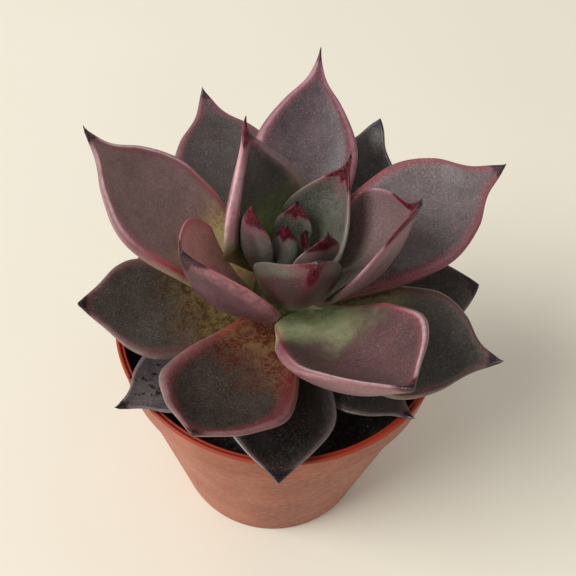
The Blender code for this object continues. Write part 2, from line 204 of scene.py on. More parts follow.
# The strong red of the youngest tips
CRIMSON_TIP = dict(tip=(64, 3, 18), tip_light=(102, 8, 34))
LOOKS = {
    "bud": dict(
        face=(92, 98, 86), deep=(66, 72, 62), base=(110, 122, 94), base_deep=(66, 74, 56),
        rim=(128, 130, 120), ridge=(140, 130, 124), margin=(110, 70, 76), line=0.3, flush=0.1,
        back=(96, 94, 86), **CRIMSON_TIP, tip_reach=2.2, tip_point=0.9, blush=0.7, blush_reach=1.6,
        blush_tone=(138, 84, 92), mucro=0.8, glitter=0.2, pits=0.0, bevel=0.22, tail=0.0,
    ),
    "inner_leaf": dict(
        line=0.35, flush=0.15, glitter=0.25, glitter_tone=(170, 170, 150), pits=0.15, bevel=0.24,
    ),
    "inner_leaf_1": dict(
        face=(104, 102, 92), deep=(78, 78, 68), base_deep=(84, 90, 62), rim=(132, 116, 112),
        back=(112, 94, 92), **CRIMSON_TIP, tip_reach=3.4, tip_point=0.0, blush=0.7,
        blush_tone=(138, 84, 92), tail=0.0,
    ),
    "inner_leaf_2": dict(
        face=(66, 68, 60), deep=(44, 46, 40), base=(112, 132, 80), base_deep=(72, 88, 52),
        rim=(120, 112, 106), back=(76, 68, 64), **CRIMSON_TIP, tip_reach=3.4, tip_point=0.0, blush=0.8,
        blush_reach=3.4, blush_tone=(128, 62, 84), mucro=0.3, tail=0.0,
    ),
    "inner_leaf_3": dict(
        face=(102, 99, 92), deep=(76, 80, 70), base=(116, 130, 100), base_deep=(92, 104, 78),
        rim=(138, 132, 124), ridge=(160, 120, 124), margin=(130, 110, 106), back=(122, 112, 106),
        **CRIMSON_TIP, tip_reach=3.8, tip_point=1.4, tip_rim=1.6, blush=0.8, blush_reach=4.0,
        blush_tone=(134, 74, 84),
    ),
    "inner_leaf_4": dict(
        face=(90, 94, 80), deep=(70, 76, 62), base=(112, 126, 86), base_deep=(92, 104, 66),
        base_reach=0.42, rim=(94, 88, 80), ridge=(112, 108, 96), margin=(104, 92, 84), back=(80, 47, 52),
        back_deep=(66, 54, 49), **CRIMSON_TIP, tip_reach=1.4, tip_point=3.0, blush=0.85, blush_reach=3.6,
        blush_tone=(112, 54, 66), mucro=0.3, tail=0.0,
    ),
    # inner_leaf_5's pale rim_left and strong pillow are partly a painted highlight on its left bevel, which
    # faces the window
    "inner_leaf_5": dict(
        face=(98, 90, 86), deep=(64, 64, 60), base=(140, 160, 92), base_deep=(110, 124, 72),
        base_reach=0.36, rim=(140, 116, 116), rim_left=(218, 166, 174), ridge=(186, 150, 160), pillow=0.5,
        back=(136, 108, 112), tip=(72, 6, 28), tip_light=(116, 26, 54), tip_reach=2.4, tip_rim=2.4,
        blush=0.7, blush_reach=5.0, blush_tone=(140, 72, 88), mucro=0.9, bevel=0.72,
    ),
    "inner_leaf_6": dict(
        face=(122, 96, 98), deep=(116, 94, 94), base=(122, 124, 98), base_deep=(84, 94, 70),
        rim=(142, 104, 108), ridge=(196, 150, 158), margin=(176, 124, 132), line=0.6, pillow=0.35,
        back=(128, 96, 98), back_deep=(112, 86, 88), **CRIMSON_TIP, tip_reach=2.8, tip_point=0.0,
        tip_rim=3.4, blush=0.5, blush_reach=3.2, mucro=1.2, bevel=0.15,
    ),
    "inner_leaf_7": dict(
        face=(230, 162, 164), deep=(200, 146, 144), base=(170, 172, 126), base_deep=(140, 142, 104),
        base_reach=0.04, rim=(124, 80, 86), ridge=(186, 100, 112), margin=(200, 80, 100), line=0.8,
        flush=0.5, back=(112, 74, 82), back_deep=(88, 62, 64), tip=(58, 18, 36), tip_reach=2.0,
        tip_point=1.4, mucro=0.8, glitter=0.15, pits=1.0, bevel=0.15, tail=0.0,
    ),
    "middle_leaf_1": dict(
        face=(90, 71, 78), deep=(64, 53, 57), rim=(140, 92, 103), ridge=(176, 124, 136),
    ),
    "middle_leaf_2": dict(
        face=(108, 76, 79), deep=(92, 68, 70), base=(214, 222, 170), base_deep=(174, 190, 138),
        base_reach=0.27, base_lean=0.05, rim=(142, 96, 100), ridge=(220, 188, 194), margin=(186, 74, 98),
        line=0.66, pillow=0.4, flush=0.25, glitter=0.55, glitter_tone=(206, 204, 160), bevel=0.36,
        tail=0.06,
    ),
    "middle_leaf_3": dict(
        face=(140, 109, 107), deep=(116, 90, 88), base=(196, 184, 112), base_deep=(208, 160, 126),
        base_reach=0.31, rust=0.45, rim=(124, 72, 80), rim_left=(158, 112, 116), ridge=(222, 188, 192),
        margin=(190, 52, 78), line=0.9, pillow=0.45, tip_rim=1.2, bevel=0.36,
    ),
    "middle_leaf_4": dict(
        face=(106, 91, 94), deep=(86, 74, 76), base=(112, 84, 62), base_deep=(90, 64, 50),
        base_reach=0.26, rust=0.4, rim=(126, 56, 70), rim_left=(134, 66, 70), ridge=(140, 82, 92),
        tip=(46, 14, 34), farina=0.5, roughness=0.38, gloss=0.55,
    ),
    "middle_leaf_5": dict(
        face=(72, 62, 58), deep=(48, 44, 38), base=(134, 98, 60), base_deep=(100, 52, 38),
        base_reach=0.37, base_lean=0.12, rust=1.0, rim=(136, 108, 108), rim_left=(136, 88, 94),
        ridge=(150, 116, 118), margin=(168, 40, 58), line=0.5, flush_reach=2.6, back=(120, 100, 98),
        tip=(72, 28, 26), tip_reach=0.8, blush=0.3, mucro=0.3, glitter=0.6, glitter_tone=(180, 150, 96),
        tail=-0.12,
    ),
    "middle_leaf_6": dict(
        face=(84, 74, 74), deep=(62, 58, 56), base=(130, 128, 104), base_deep=(104, 98, 76),
        base_reach=0.42, rim=(134, 96, 100), ridge=(140, 96, 100), line=0.4,
    ),
    "middle_leaf_7": dict(
        face=(64, 62, 57), deep=(48, 47, 42), base=(150, 144, 104), base_deep=(112, 100, 72),
        base_reach=0.46, rim=(126, 104, 98), ridge=(66, 42, 48), margin=(124, 76, 68), line=0.7,
        tip=(36, 16, 28), tip_reach=1.8, glitter=0.5,
    ),
    "middle_leaf_8": dict(
        face=(84, 77, 73), deep=(64, 58, 52), base=(116, 98, 56), base_deep=(76, 54, 24), base_reach=0.42,
        rust=0.32, rim=(140, 112, 108), rim_left=(134, 108, 104), ridge=(120, 90, 88),
        margin=(130, 66, 60), tip_reach=1.2, glitter=0.7, glitter_tone=(186, 160, 96), tail=0.1,
    ),
    "outer_leaf": dict(
        face=(58, 54, 52), deep=(38, 38, 36), base=(52, 48, 36), base_deep=(40, 36, 26), rim=(98, 86, 84),
        ridge=(118, 104, 102), margin=(84, 66, 64), line=0.4, flush=0.15, back=(84, 76, 74),
        tip=(22, 14, 24), tip_reach=1.4, blush=0.1, mucro=1.2, farina=0.25, glitter=0.15, pits=0.4,
        roughness=0.34, gloss=0.6,
    ),
    # outer_leaf_2's pale bluish rim is partly its bevel's own pale tone and partly a painted highlight
    "outer_leaf_2": dict(
        face=(38, 36, 36), deep=(19, 19, 21), rim=(100, 92, 96), ridge=(124, 108, 102), tip=(20, 18, 34),
        tip_reach=2.2, gloss=0.9, tail=-0.05,
    ),
    "outer_leaf_4": dict(tail=0.0),
    "outer_leaf_5": dict(
        face=(112, 104, 106), deep=(80, 74, 78), rim=(96, 92, 94), ridge=(150, 146, 148),
    ),
}

MUCRO = (30, 12, 18)
FARINA = (186, 176, 168)
GRAIN = (34, 24, 24)
PIT = (38, 18, 24)
RUST = (92, 30, 22)

# Sizes of the leaves' markings in millimetres, and how deep light goes into a leaf
PATCH_SIZE = 5.0
MOTTLE_SIZE = 1.1
GRAIN_SIZE = 0.17
FRECKLE_CLOUD_SIZE = 3.4
FRECKLE_SIZE = 0.45
BLOOM_CLOUD_SIZE = 7.0
GLITTER_SPACING = 0.3
PIT_SPACING = 3.2
LEAF_RELIEF = 0.055
SUBSURFACE_SHARE = 0.08
SUBSURFACE_REACH = (1.0, 0.45, 0.3)
SUBSURFACE_SCALE = 0.8 * MM
Skin = collections.namedtuple("Skin", "across along rim rim_place from_tip fringe patches mottle grain seed")

# The growing point's one place on a leaf's skin, and its seed
DOME_SKIN = (0.0, 0.3, 3.0)
DOME_SEED = 60

# Pot, soil and stem: a dark and a light tone each where there are two
# The pot's two sides: painted light, lighter, on the left towards the window, and painted shade, darker, on
# the right. The pale bloom is mottled into the painted lit side only.
PLASTIC_LIT_SIDE_TONES = ((156, 88, 64), (176, 110, 86))
PLASTIC_SHADED_SIDE_TONES = ((138, 69, 43), (156, 86, 58))
PLASTIC_BLOOM = (198, 148, 126)
PLASTIC_LIP = (156, 58, 36)
PLASTIC_INSIDE = (150, 44, 22)
PLASTIC_SPECK = (84, 50, 38)
PLASTIC_CLOUD_SIZE = 9.0
PLASTIC_GRAIN_SIZE = 0.9
PLASTIC_GLOSS = 0.3
SOIL_TONES = ((14, 11, 9), (46, 36, 28))
PEAT_TONES = ((20, 15, 12), (62, 46, 34))
GRIT_TONES = ((176, 170, 160), (232, 228, 220))
STEM_TONES = ((78, 58, 42), (112, 122, 78))
STEM_CORK = (50, 40, 30)

# Crumbs: sizes in millimetres, and widths and heights as shares of them. The lip's have an angle and a size
# each, and the leaves' a number and how far along the leaf their middle lies.
SEED = 7
SOIL_CRUMBS = 900
SOIL_CRUMB_SIZES = (0.4, 1.3)
GRIT_EVERY = 22
CRUMB_WIDTHS = (0.6, 1.3)
CRUMB_HEIGHTS = (0.5, 0.9)
CRUMB_ROUGHNESS = 0.35
LEAF_CRUMB_SIZES = (0.25, 0.75)
LIP_CRUMBS = [(-168.0, 0.8), (-166.5, 0.5), (-146.0, 0.6)]
LEAF_CRUMBS = {
    "outer_leaf_5": (40, 0.68),
    "outer_leaf_2": (14, 0.5),
    "outer_leaf_1": (6, 0.5),
    "outer_leaf_7": (8, 0.5),
    "middle_leaf_6": (2, 0.6),
}

# Camera, fitted to the square photo, with angles in degrees
CAMERA_PLACE = Vector((0.0008, -0.0688, 0.1455))
CAMERA_DOWN = 52.4
CAMERA_ROLL = 4.5
CAMERA_LENS = 43.75
CAMERA_SENSOR = 36.0
CAMERA_NEAR = 0.002
CAMERA_FAR = 20.0

# Floor and light
FLOOR_HALF = 1.2
FLOOR_DROP = 0.02 * MM
FLOOR_TONES = ((234, 229, 213), (239, 234, 219))
FLOOR_ROUGHNESS = 0.7
WINDOW_PLACE = Vector((-1.15, -0.45, 1.1))
WINDOW_AIM = Vector((0.0, 0.0, 0.05))
WINDOW_SIZE = 1.1
WINDOW_POWER = 24.5
WINDOW_COLOR = (1.0, 0.985, 0.96)
ROOM_COLOR = (1.0, 0.97, 0.93)
ROOM_STRENGTH = 0.5


def share(value, start, end):
    """How far value lies from start to end, kept between 0 and 1."""
    return np.clip((value - start) / (end - start), 0.0, 1.0)


def linear(color):
    """A colour of 0 to 255 in each channel as the renderer's linear colour."""
    return tuple((c / 255 / 12.92) if c < 10 else ((c / 255 + 0.055) / 1.055) ** 2.4 for c in color)


def look_of(name):
    """The usual look, changed by what LOOKS says of the leaf's group and then of the leaf."""
    look = dict(USUAL_LOOK)
    for key in (name.rsplit("_", 1)[0], name):
        look.update(LOOKS.get(key, {}))
    return look


def arc(middle, radius, start, end, steps):
    """Points (radius, height) round a bead's middle, from one angle in degrees to another."""
    angles = [math.radians(start + (end - start) * i / steps) for i in range(steps + 1)]
    return [(middle[0] + radius * math.cos(a), middle[1] + radius * math.sin(a)) for a in angles]


def linked(name, data):
    """A new object of this mesh, camera or light, in the scene."""
    made = bpy.data.objects.new(name, data)
    bpy.context.scene.collection.objects.link(made)
    return made


def mesh_object(name, points, faces, material):
    mesh = bpy.data.meshes.new(name)
    mesh.from_pydata([tuple(p) for p in points], [], faces)
    mesh.materials.append(material)
    mesh.shade_smooth()
    return linked(name, mesh)


def shape_object(name, shape):
    """A new object of this edit mesh, which is freed."""
    mesh = bpy.data.meshes.new(name)
    shape.to_mesh(mesh)
    shape.free()
    return linked(name, mesh)


def turned(name, profile, steps, material):
    """A closed solid turned round Z from (radius, height) points, from the axis out and back to the axis."""
    inner = profile[1:-1]
    points = [
        (radius * math.cos(2 * math.pi * i / steps), radius * math.sin(2 * math.pi * i / steps), height)
        for radius, height in inner
        for i in range(steps)
    ]
    points += [(0.0, 0.0, profile[0][1]), (0.0, 0.0, profile[-1][1])]
    return mesh_object(name, points, [face[::-1] for face in tube_faces(len(inner), steps)], material)


def tube_faces(rings, sides):
    """Faces of a tube of rings, closed by one point at each end."""
    faces = []
    foot, tip = rings * sides, rings * sides + 1
    for side in range(sides):
        beside = (side + 1) % sides
        faces.append((foot, beside, side))
        faces.append((tip, (rings - 1) * sides + side, (rings - 1) * sides + beside))
        for ring in range(rings - 1):
            low = ring * sides
            faces.append((low + side, low + beside, low + sides + beside, low + sides + side))
    return faces


def placed(made, slot, *nodes):
    """Lets the piece stand for its CAD nodes and ride on the plant's one body. The slot is not used."""
    if nodes:
        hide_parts(*nodes)
    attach(made, "root")


def seat_radius(age):
    """Distance from the axis to the foot of the leaf this old."""
    return TIP_SEAT_RADIUS + SEAT_GROWTH * float(share(age, 0, FULL_SEAT_LEAF)) ** 0.8


def seat_height(age):
    return TOP_LEAF_HEIGHT - LEAF_STEP * max(age, 0)


# Leaf form


def direction(lift, heading):
    """Unit vectors with these pitches and azimuths in radians."""
    return np.stack([np.cos(lift) * np.cos(heading), np.cos(lift) * np.sin(heading), np.sin(lift)], axis=1)


def leaf_spine(leaf, age, along):
    """Points along the middle of the leaf, each with its pitch and azimuth in radians."""
    azimuth = math.radians(FIRST_AZIMUTH - GOLDEN_ANGLE * age + leaf.turn)
    seat = leaf.form.get("seat", seat_radius(age) / MM) * MM
    station = np.arange(SPINE_STEPS + 1) / SPINE_STEPS
    hook = HOOK_ANGLE * share(station, HOOK_START, 1.0) ** 2
    lift = np.radians(leaf.pitch + leaf.curl * station**2 + hook)
    heading = azimuth + math.radians(leaf.sway) * station
    way = direction(lift, heading)
    way[0] = 0.0
    points = np.cumsum(way, axis=0) * leaf.length * MM / SPINE_STEPS
    points += (seat * math.cos(azimuth), seat * math.sin(azimuth), seat_height(age))
    on_spine = np.stack([np.interp(along, station, points[:, axis]) for axis in range(3)], axis=1)
    return on_spine, np.interp(along, station, lift), np.interp(along, station, heading)


def half_width(leaf, along):
    """Half the leaf's width in millimetres at each share of its length."""
    foot = leaf.form.get("foot", FOOT_WIDTH)
    widest = leaf.form.get("widest", USUAL_WIDEST)
    grown = foot + (1 - foot) * np.sin(np.pi / 2 * np.minimum(along / widest, 1.0))
    ending = np.cos(np.pi / 2 * share(along, widest, 1.0)) ** leaf.form.get("point", USUAL_POINT)
    return leaf.width / 2 * np.where(along < widest, grown, ending)


def drawn_out(leaf, along):
    """How much the outline draws in before the tip, so that the tip stands out as a narrow tail."""
    return 1 - look_of(leaf.name)["tail"] * np.sin(np.pi * share(along, TAIL_START, 1.0)) ** 2


def thickness(leaf, along, half):
    """The leaf's thickness in millimetres: thin at the tip, and nowhere more than its width allows."""
    full = leaf.form.get("thick", USUAL_THICKNESS * leaf.width)
    swell = FOOT_THICKNESS + (1 - FOOT_THICKNESS) * np.sin(np.pi / 2 * share(along, 0.0, THICKEST))
    thin = 1 - SLIMMING * share(along, THICKEST, 1.0) ** 1.3
    thick = np.maximum(np.minimum(full * swell * thin, 1.2 * half + LEAST_THICKNESS), LEAST_THICKNESS)
    pointed = share(along, 0.84, 0.97)
    return thick * (1 - pointed) + np.minimum(1.7 * half, thick) * pointed


def rim_distance(x, z, sides):
    """Millimetres along the section from each point to the nearer margin, below 0 on the back."""
    steps = np.hypot(np.roll(x, -1, axis=1) - x, np.roll(z, -1, axis=1) - z)
    start = np.cumsum(steps, axis=1) - steps
    middle = sides // 2
    turn = start[:, middle : middle + 1]
    end = start[:, -1:] + steps[:, -1:]
    face = np.minimum(start[:, :middle], turn - start[:, :middle])
    back = np.minimum(start[:, middle:] - turn, end - start[:, middle:])
    return np.concatenate([face, -back], axis=1)


def thorn_width(leaf, along):
    """Half the width in millimetres that the thorn keeps where the outline closes."""
    small = min(1.0, leaf.width / THORN_LEAF_WIDTH)
    thorn_share = THORN_LENGTH * small / leaf.length
    thorn = THORN_RADIUS * small * (1 - THORN_TAPER * share(along, 1 - thorn_share, 1.0) ** 1.5)
    return np.where(along > 0.8, thorn, 0.0)


def bevel_curve(turn):
    """How far out from the ridge the bevel lies, from 0 to 1, and how far it falls, in thicknesses."""
    angle = BEVEL_START + (np.pi / 2 - BEVEL_START) * share(turn, 0.0, BEVEL_TURN)
    out = (np.sin(angle) - math.sin(BEVEL_START)) / (1 - math.sin(BEVEL_START))
    return out, BEVEL_DEPTH * (1 - np.cos(angle) / math.cos(BEVEL_START))


def leaf_section(leaf, along, sides):
    """Each ring's points in millimetres, across the leaf and above its spine, and how far across they are."""
    angle = 2 * np.pi * np.arange(sides) / sides
    across, height = np.cos(angle)[None, :], np.sin(angle)[None, :]
    on_face = height >= -1e-9
    turn = np.arcsin(np.minimum(np.abs(height), 1.0))
    half = np.maximum(half_width(leaf, along) * drawn_out(leaf, along), thorn_width(leaf, along))
    thick = thickness(leaf, along, half)
    inset = np.minimum(look_of(leaf.name)["bevel"] * thick, BEVEL_LIMIT * half) * share(along, 0.02, 0.2)
    ridge, half, inset, thick = (value[:, None] for value in (half - inset, half, inset, thick))
    out, fall = bevel_curve(turn)
    under = np.pi / 2 * share(turn, BEVEL_TURN, np.pi / 2)
    keel = 1 + KEEL * (1 - np.abs(across)) ** 2 * along[:, None]
    below = fall + (BACK_SHARE * keel - BEVEL_DEPTH) * np.sin(under) ** BACK_ROUNDING
    crest = np.where(on_face, 1 - ridge * (1 - np.abs(across)) / (CREST_REACH * thick), 1 - turn / BEVEL_TURN)
    crest = CREST_DEPTH * np.maximum(crest, 0.0) ** 2
    x = np.where(on_face, ridge * across, np.sign(across) * (ridge + inset * out) * np.cos(under))
    z = (np.where(on_face, FACE_SHARE * height**2, -below) - crest) * thick
    hollow = leaf.form.get("hollow", USUAL_HOLLOW) * share(along, 0.0, 0.35)
    hollow = (hollow * (1 - 0.3 * share(along, 0.7, 1.0)))[:, None] * half
    z = z + hollow * (np.where(on_face, across, np.cos(under)) ** 2 - 0.35)
    rounded = np.sqrt(1 - (1 - share(along, 0.0, 0.03)) ** 2)[:, None]
    return x * rounded, z * rounded, across


def leaf_skin(leaf, age, rings, sides):
    """The leaf's points ring by ring, its normals, its two ends, and each point's place on the skin."""
    along = np.linspace(0.0, 1.0, rings + 1)[1:-1] ** RING_CROWDING
    x, z, across = leaf_section(leaf, along, sides)
    middle, lift, heading = leaf_spine(leaf, age, along)
    forward = direction(lift, heading)
    foot_reach = FOOT_REACH * min(1.0, leaf.width / THORN_LEAF_WIDTH) * MM
    middle = middle - forward * foot_reach * (1 - share(along, 0.0, 0.12))[:, None]
    left = np.stack([-np.sin(heading), np.cos(heading), 0 * heading], axis=1)
    face = np.stack([-np.sin(lift) * np.cos(heading), -np.sin(lift) * np.sin(heading), np.cos(lift)], axis=1)
    roll = (math.radians(leaf.roll) * share(along, 0.0, 0.3))[:, None]
    side = left * np.cos(roll) + face * np.sin(roll)
    normal = face * np.cos(roll) - left * np.sin(roll)
    points = middle[:, None] + side[:, None] * (x * MM)[:, :, None] + normal[:, None] * (z * MM)[:, :, None]
    ends, _, _ = leaf_spine(leaf, age, np.array([0.0, 1.0]))
    ends[0] -= forward[0] * foot_reach
    skin = np.stack([across + 0 * x, along[:, None] + 0 * x, rim_distance(x, z, sides)], axis=2)
    return points, normal, ends, skin


def dent(points, normals, seed):
    """Moves the points a little along their normals, in soft dents that differ from leaf to leaf."""
    away = Vector((seed * 3.1, seed * 7.7, seed * 1.3))
    for ring, normal in zip(points, normals):
        for point in ring:
            point += normal * noise.noise(Vector(point) / (DENT_SIZE * MM) + away) * DENT_DEPTH * MM


def store_skin(made, skin):
    """Keeps each point's place on the skin with the mesh, for the materials."""
    attribute = made.data.attributes.new("skin", "FLOAT_VECTOR", "POINT")
    attribute.data.foreach_set("vector", skin.astype(np.float32).ravel())


def leaf_object(name, leaf, age, rings, sides):
    seed = age + len(HEART_ROWS)
    points, normals, ends, skin = leaf_skin(leaf, age, rings, sides)
    dent(points, normals, seed)
    flat = np.concatenate([points.reshape(-1, 3), ends])
    made = mesh_object(name, flat, tube_faces(len(points), sides), leaf_material(leaf, seed))
    pole_skin = np.array([[0.0, 0.0, -1.0], [0.0, 1.0, 0.0]])
    store_skin(made, np.concatenate([skin.reshape(-1, 3), pole_skin]))
    return made


# Materials


class Paint:
    """Adds shader nodes to one material. Each call gives the output that the next one can take."""

    def __init__(self, name):
        self.material = bpy.data.materials.new(name)
        self.material.use_nodes = True
        self.tree = self.material.node_tree
        self.shader = self.tree.nodes["Principled BSDF"]
        coordinates = self.tree.nodes.new("ShaderNodeTexCoord")
        self.place = coordinates.outputs["Object"]

    def link(self, value, socket):
        """Gives the socket another one's output, a colour of 0 to 255 in each channel, or a number."""
        if isinstance(value, bpy.types.NodeSocket):
            self.tree.links.new(value, socket)
        elif isinstance(value, tuple):
            socket.default_value = (*linear(value), 1.0)
        else:
            socket.default_value = value

    def math(self, operation, first, second=0.0):
        node = self.tree.nodes.new("ShaderNodeMath")
        node.operation = operation
        self.link(first, node.inputs[0])
        self.link(second, node.inputs[1])
        return node.outputs[0]

    def plus(self, first, second):
        return self.math("ADD", first, second)

    def minus(self, first, second):
        return self.math("SUBTRACT", first, second)

    def times(self, first, second):
        return self.math("MULTIPLY", first, second)

    def wobble(self, field, amount):
        """A noise field as a change of up to half this amount either way."""
        return self.times(self.minus(field, 0.5), amount)

    def ramp(self, value, start, end, low=0.0, high=1.0):
        """Goes smoothly from low to high as value goes from start to end."""
        node = self.tree.nodes.new("ShaderNodeMapRange")
        node.interpolation_type = "SMOOTHSTEP"
        for name, given in (("Value", value), ("From Min", start), ("From Max", end)):
            self.link(given, node.inputs[name])
        node.inputs["To Min"].default_value = low
        node.inputs["To Max"].default_value = high
        return node.outputs[0]

    def mix(self, factor, first, second):
        """The first colour where the factor is 0, and the second where it is 1."""
        node = self.tree.nodes.new("ShaderNodeMix")
        node.data_type = "RGBA"
        self.link(factor, node.inputs["Factor"])
        self.link(first, node.inputs[6])
        self.link(second, node.inputs[7])
        return node.outputs[2]

    def noise(self, size, detail=2.0, roughness=0.5, shift=0.0):
        """Values about 0.5 that change over this many millimetres."""
        node = self.tree.nodes.new("ShaderNodeTexNoise")
        node.noise_dimensions = "4D"
        self.link(self.place, node.inputs["Vector"])
        node.inputs["W"].default_value = shift
        node.inputs["Scale"].default_value = 1 / (size * MM)
        node.inputs["Detail"].default_value = detail
        node.inputs["Roughness"].default_value = roughness
        return node.outputs["Fac"]

    def cells(self, size, shift=0.0):
        """Distance to the nearest of many scattered points, in cells, and a random value of that point."""
        node = self.tree.nodes.new("ShaderNodeTexVoronoi")
        node.voronoi_dimensions = "4D"
        self.link(self.place, node.inputs["Vector"])
        node.inputs["W"].default_value = shift
        node.inputs["Scale"].default_value = 1 / (size * MM)
        part = self.tree.nodes.new("ShaderNodeSeparateColor")
        self.tree.links.new(node.outputs["Color"], part.inputs[0])
        return node.outputs["Distance"], part.outputs[0]

    def spots(self, size, radius, kept, shift=0.0):
        """1 inside round spots scattered about size millimetres apart, of which the share kept is there."""
        distance, chance = self.cells(size, shift)
        inside = self.ramp(distance, radius, radius * 0.55)
        return self.times(inside, self.math("LESS_THAN", chance, kept))

    def attribute(self, name):
        node = self.tree.nodes.new("ShaderNodeAttribute")
        node.attribute_name = name
        return self.parts(node.outputs["Vector"])

    def parts(self, vector):
        node = self.tree.nodes.new("ShaderNodeSeparateXYZ")
        self.tree.links.new(vector, node.inputs[0])
        return node.outputs

    def bump(self, height, depth):
        """Raises the surface by height times depth millimetres."""
        node = self.tree.nodes.new("ShaderNodeBump")
        node.inputs["Strength"].default_value = 1.0
        node.inputs["Distance"].default_value = depth * MM
        self.tree.links.new(height, node.inputs["Height"])
        self.tree.links.new(node.outputs[0], self.shader.inputs["Normal"])

    def finish(self, color, roughness):
        self.link(color, self.shader.inputs["Base Color"])
        self.link(roughness, self.shader.inputs["Roughness"])
        return self.material


def leaf_places(paint, leaf, seed):
    """Where each point lies on the leaf, and noise of three sizes. The fringe makes borders ragged."""
    across, along, rim = paint.attribute("skin")
    mottle = paint.noise(MOTTLE_SIZE, 3.0, 0.6, seed + 10)
    fringe = paint.wobble(mottle, 0.6)
    return Skin(
        across=across,
        along=along,
        rim=rim,
        rim_place=paint.plus(rim, fringe),
        from_tip=paint.times(paint.minus(1.0, along), leaf.length),
        fringe=fringe,
        patches=paint.noise(PATCH_SIZE, 3.0, 0.55, seed),
        mottle=mottle,
        grain=paint.noise(GRAIN_SIZE, 1.0, 0.6, seed + 20),
        seed=seed,
    )


def leaf_freckles(paint, look, skin, place):
    """How strongly the brown freckles show, in clouds near the leaf's foot."""
    reach = look["base_reach"]
    where = paint.ramp(place, reach + 0.28, reach - 0.05, 0.0, look["rust"])
    cloud = paint.ramp(paint.noise(FRECKLE_CLOUD_SIZE, 2.0, 0.5, skin.seed + 30), 0.42, 0.56)
    fine = paint.ramp(paint.noise(FRECKLE_SIZE, 3.0, 0.7, skin.seed + 35), 0.44, 0.56)
    return paint.times(paint.times(cloud, fine), where)


def leaf_face(paint, look, skin):
    """Colour of the upper side, and how much of the leaf's foot is in it."""
    patchy = paint.ramp(paint.plus(skin.patches, skin.fringe), 0.22, 0.74)
    face = paint.mix(patchy, look["deep"], look["face"])
    place = paint.minus(skin.along, paint.times(skin.across, look["base_lean"]))
    for field, amount in ((skin.patches, 0.4), (skin.mottle, 0.2), (skin.grain, 0.35)):
        place = paint.plus(place, paint.wobble(field, amount))
    in_base = paint.ramp(place, look["base_reach"] + 0.16, look["base_reach"] - 0.18)
    base = paint.mix(paint.ramp(skin.mottle, 0.35, 0.62), look["base_deep"], look["base"])
    face = paint.mix(in_base, face, base)
    if look["rust"]:
        face = paint.mix(leaf_freckles(paint, look, skin, place), face, RUST)
    flush = paint.ramp(skin.rim_place, look["flush_reach"], 0.0, 0.0, look["flush"])
    return paint.mix(flush, face, look["margin"]), in_base


def leaf_tones(paint, look, skin):
    """Colour of face, bevel and back, how much of the foot is in it, and where the ridge's line shows. Pale
    ridge lines and the pillow are partly painted highlight.
    """
    face, in_base = leaf_face(paint, look, skin)
    on_left = paint.ramp(skin.across, -0.2, 0.2)
    edge = paint.mix(on_left, look["rim"], look.get("rim_left", look["rim"]))
    edge = paint.mix(paint.ramp(skin.mottle, 0.6, 0.35, 0.0, 0.3), edge, look["deep"])
    back_deep = look.get("back_deep", look["back"])
    back = paint.mix(paint.ramp(skin.patches, 0.35, 0.65), back_deep, look["back"])
    back = paint.mix(paint.ramp(skin.rim_place, -1.6, -3.2), edge, back)
    back = paint.mix(paint.times(in_base, 0.8), back, look["base"])
    color = paint.mix(paint.ramp(skin.rim_place, -0.3, 0.2), back, face)
    # pillow: the rim's colour on the face beside the ridge, partly a painted highlight on the rounded edge
    pillow = paint.times(paint.ramp(skin.rim, 1.9, 0.2, 0.0, look["pillow"]), paint.ramp(skin.rim, -0.3, 0.1))
    color = paint.mix(paint.times(pillow, paint.ramp(skin.along, 0.15, 0.45)), color, edge)
    # The ridge's line: the margin's own red near the foot, and the ridge tone towards the tip, which where
    # pale is partly a painted highlight
    ridge = paint.mix(paint.ramp(skin.along, 0.35, 0.7), look["margin"], look["ridge"])
    line = paint.times(paint.ramp(skin.rim, -0.5, -0.05), paint.ramp(skin.rim, 0.55, 0.1))
    line = paint.times(line, paint.ramp(skin.mottle, 0.25, 0.6, 0.4 * look["line"], look["line"]))
    return paint.mix(line, color, ridge), in_base, line


def with_tip(paint, look, skin, color):
    """The colour with the leaf's tip, the blush behind it and the dark thorn."""
    place = paint.minus(skin.from_tip, paint.times(skin.fringe, 1.5))
    on_midrib = paint.ramp(paint.math("ABSOLUTE", skin.across), 0.45, 0.0)
    place = paint.minus(place, paint.times(on_midrib, look["tip_point"]))
    on_ridge = paint.ramp(paint.math("ABSOLUTE", skin.rim), 1.6, 0.2, 0.0, look["tip_rim"])
    place = paint.minus(place, on_ridge)
    reach = look["tip_reach"]
    blush = paint.ramp(place, reach + look["blush_reach"], reach * 0.6, 0.0, look["blush"])
    color = paint.mix(blush, color, look["blush_tone"])
    tip_light = look.get("tip_light", look["tip"])
    tip = paint.mix(paint.ramp(skin.mottle, 0.4, 0.65), look["tip"], tip_light)
    color = paint.mix(paint.ramp(place, reach + 0.45, reach - 0.45), color, tip)
    thorn_place = paint.minus(skin.from_tip, paint.times(skin.fringe, 0.8))
    in_thorn = paint.ramp(thorn_place, look["mucro"] + 0.5, look["mucro"] - 0.3)
    return paint.mix(in_thorn, color, MUCRO)


